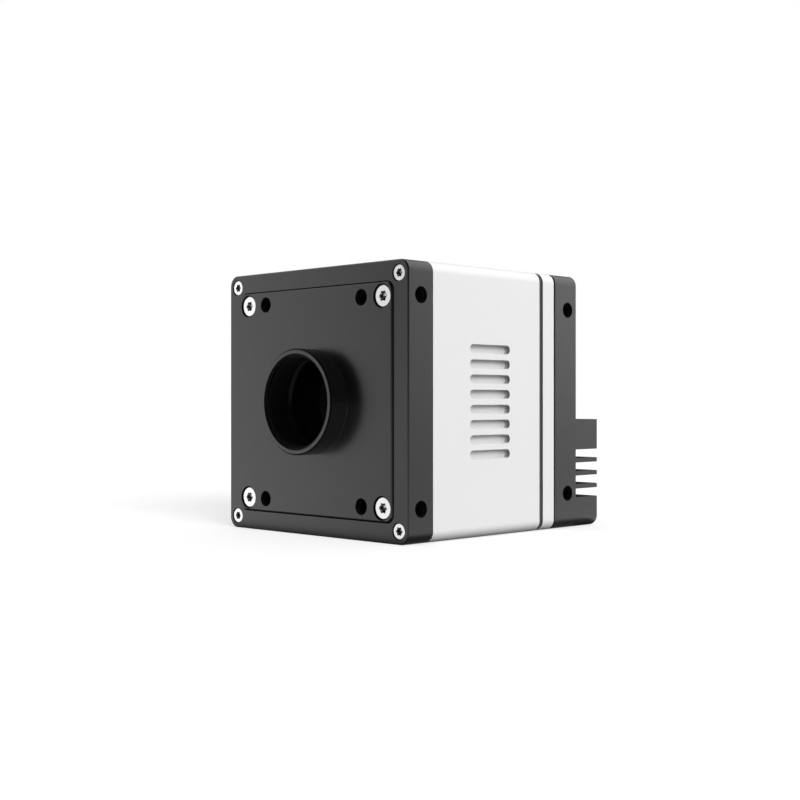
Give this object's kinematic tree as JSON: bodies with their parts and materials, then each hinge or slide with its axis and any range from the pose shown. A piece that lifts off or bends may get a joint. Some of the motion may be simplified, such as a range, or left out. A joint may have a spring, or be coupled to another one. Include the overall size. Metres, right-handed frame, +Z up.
{
  "type": "machine vision camera",
  "caption": "Square industrial camera body with a threaded lens mount, pale housing with side slots, black front flange and finned black rear cover.",
  "frame": {"origin": "centre of the front rim of the lens mount's tube, on the lens axis", "axes": "-Y is the way the lens looks, +Y is towards the finned back, +Z is up, and +X is to the right as seen from in front"},
  "size_m": [0.074, 0.0874, 0.074],
  "materials": {
    "black_anodised": "fine bead-blasted, black anodised",
    "pale_anodised": "fine bead-blasted, clear anodised",
    "screw_steel": "bright zinc-plated",
    "dark_rubber": "matt",
    "filter_glass": "polished, coated",
    "clear_glass": "polished",
    "silicon": "polished",
    "ceramic": "matt",
    "circuit_board": "satin",
    "chip_plastic": "matt",
    "connector_plastic": "satin",
    "brass": "bright",
    "gold_contacts": "gold-plated",
    "nickel_sheet": "satin nickel",
    "thermal_pad": "matt",
    "light_plastic": "clear"
  },
  "bodies": {
    "root": {"lens_mount_plate": "black_anodised", "mount_gasket": "dark_rubber", "mount_plate_screws": "screw_steel", "filter_retainer": "black_anodised", "filter_glass": "filter_glass", "filter_seal": "dark_rubber", "front_flange": "black_anodised", "front_flange_screws": "screw_steel", "main_housing": "pale_anodised", "seam_gasket": "dark_rubber", "rear_frame": "pale_anodised", "rear_cover": "black_anodised", "rear_cover_screws": "screw_steel", "sensor_glass": "clear_glass", "sensor_die": "silicon", "sensor_package": "ceramic", "sensor_board": "circuit_board", "sensor_standoffs": "brass", "sensor_link_plug": "connector_plastic", "sensor_link_socket": "connector_plastic", "main_board": "circuit_board", "processor": "nickel_sheet", "thermal_pad": "thermal_pad", "memory_chips": "chip_plastic", "inductors": "chip_plastic", "main_standoffs": "brass", "main_link_plug": "connector_plastic", "main_link_socket": "connector_plastic", "interface_board": "circuit_board", "interface_board_screws": "screw_steel", "jack_shield": "nickel_sheet", "jack_insert": "connector_plastic", "jack_contacts": "gold_contacts", "power_shell": "nickel_sheet", "power_nut": "nickel_sheet", "power_insulator": "connector_plastic", "power_pins": "gold_contacts", "status_led": "light_plastic", "status_light_pipe": "light_plastic"}
  },
  "joints": []
}
